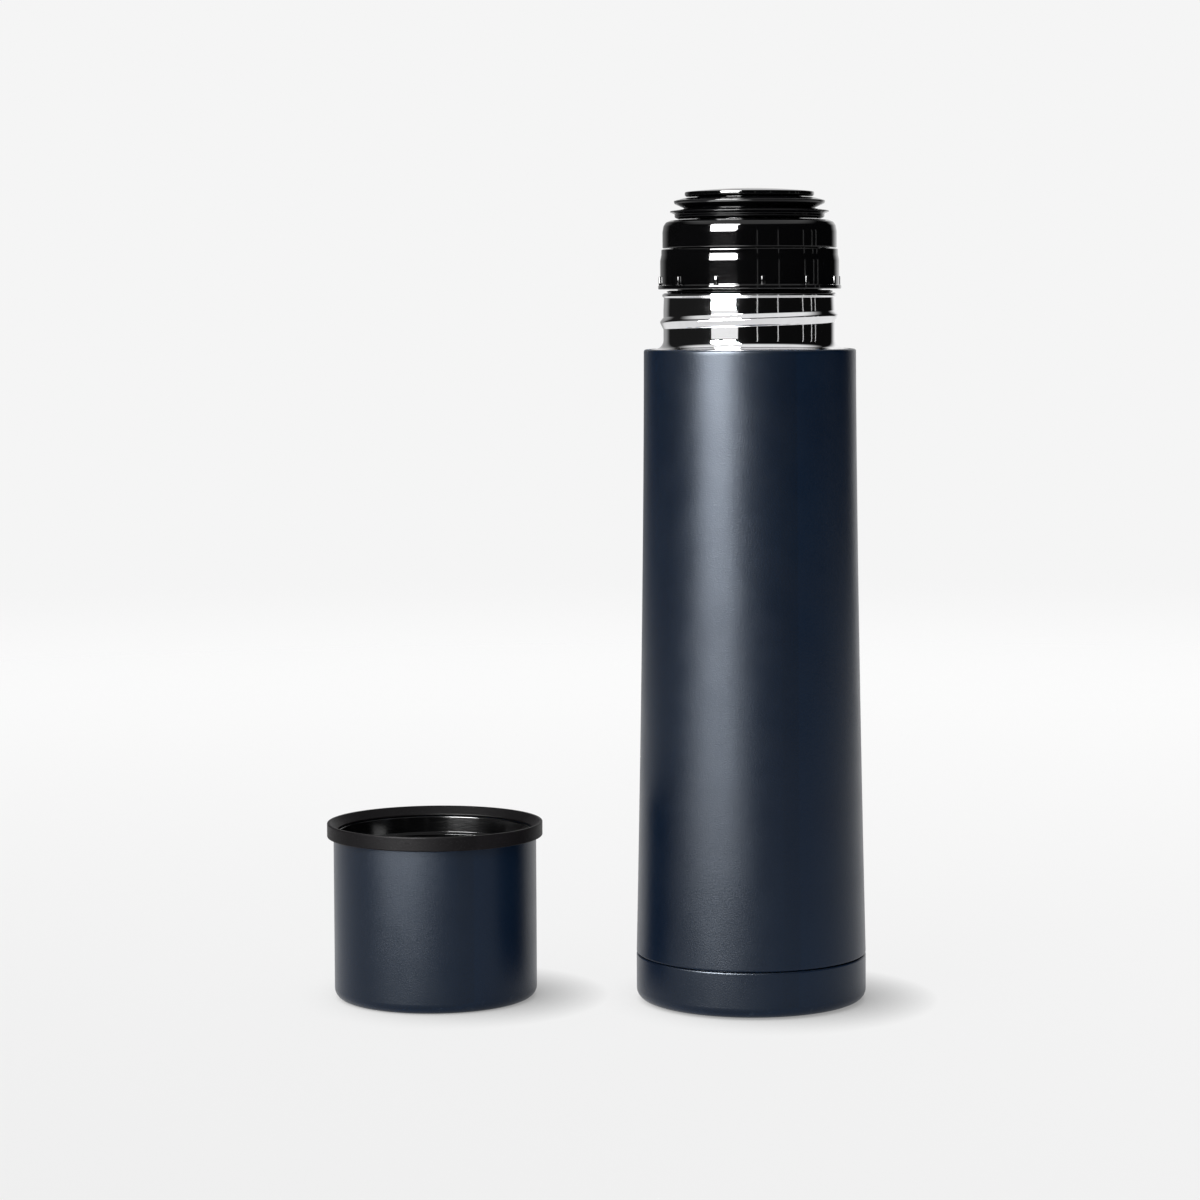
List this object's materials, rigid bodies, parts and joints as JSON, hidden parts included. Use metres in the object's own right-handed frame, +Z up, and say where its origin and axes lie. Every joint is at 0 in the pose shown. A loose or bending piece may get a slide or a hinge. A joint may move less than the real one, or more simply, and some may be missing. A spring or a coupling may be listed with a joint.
{
  "type": "vacuum flask",
  "caption": "Slim double-walled steel flask with a threaded neck and a black screw stopper, and its drinking cup standing beside it.",
  "frame": {"origin": "on the flask's axis, in the plane of the surface that the flask and the cup stand on", "axes": "+Z up along the flask's axis, -Y towards the front, the cup stands on the -X side"},
  "size_m": [0.1601, 0.0721, 0.2399],
  "materials": {
    "body_paint": "satin powder coat, dark navy",
    "polished_steel": "polished stainless steel",
    "brushed_steel": "electropolished stainless steel",
    "gloss_black": "glossy moulded polypropylene",
    "soft_rubber": "matt silicone rubber",
    "insulation_foam": "rigid foam",
    "getter_compound": "sintered, matt",
    "foil": "bright copper foil"
  },
  "bodies": {
    "flask": {"outer_shell": "body_paint", "base_cup": "body_paint", "base_pad": "soft_rubber", "neck_shoulder": "polished_steel", "inner_neck": "brushed_steel", "inner_bottle_wall": "brushed_steel", "inner_bottle_bottom": "brushed_steel", "vacuum_end_plate": "brushed_steel", "sealing_bead": "getter_compound", "getter_clip": "brushed_steel", "getter_pellet": "getter_compound", "foil_wrap": "foil"},
    "mouth_seal": {"mouth_gasket": "soft_rubber"},
    "stopper": {"stopper_head": "gloss_black", "stopper_collar": "gloss_black", "stopper_plug": "gloss_black", "stopper_bottom_cap": "gloss_black", "stopper_insulation": "insulation_foam", "lip_seal_ring": "gloss_black", "stopper_top_cap": "gloss_black", "plug_gasket": "soft_rubber"},
    "cup": {"cup_shell": "body_paint", "cup_liner": "gloss_black", "cup_collar": "soft_rubber"}
  },
  "joints": [
    {"name": "stopper_rise", "type": "slide", "parent": "flask", "child": "mouth_seal", "axis": [0, 0, 1], "range_m": [0, 0.0086]},
    {"name": "stopper_turn", "type": "hinge", "parent": "mouth_seal", "child": "stopper", "pos_m": [0, 0, 0.2103], "axis": [0, 0, 1], "range_deg": [0, 718]},
    {"name": "cup_lift", "type": "slide", "parent": "flask", "child": "cup", "axis": [0, 0, 1], "range_m": [0, 0.08]}
  ],
  "couplings": [
    {"joint": "stopper_rise", "follows": "stopper_turn", "m_per_rad": 0.00068437}
  ]
}
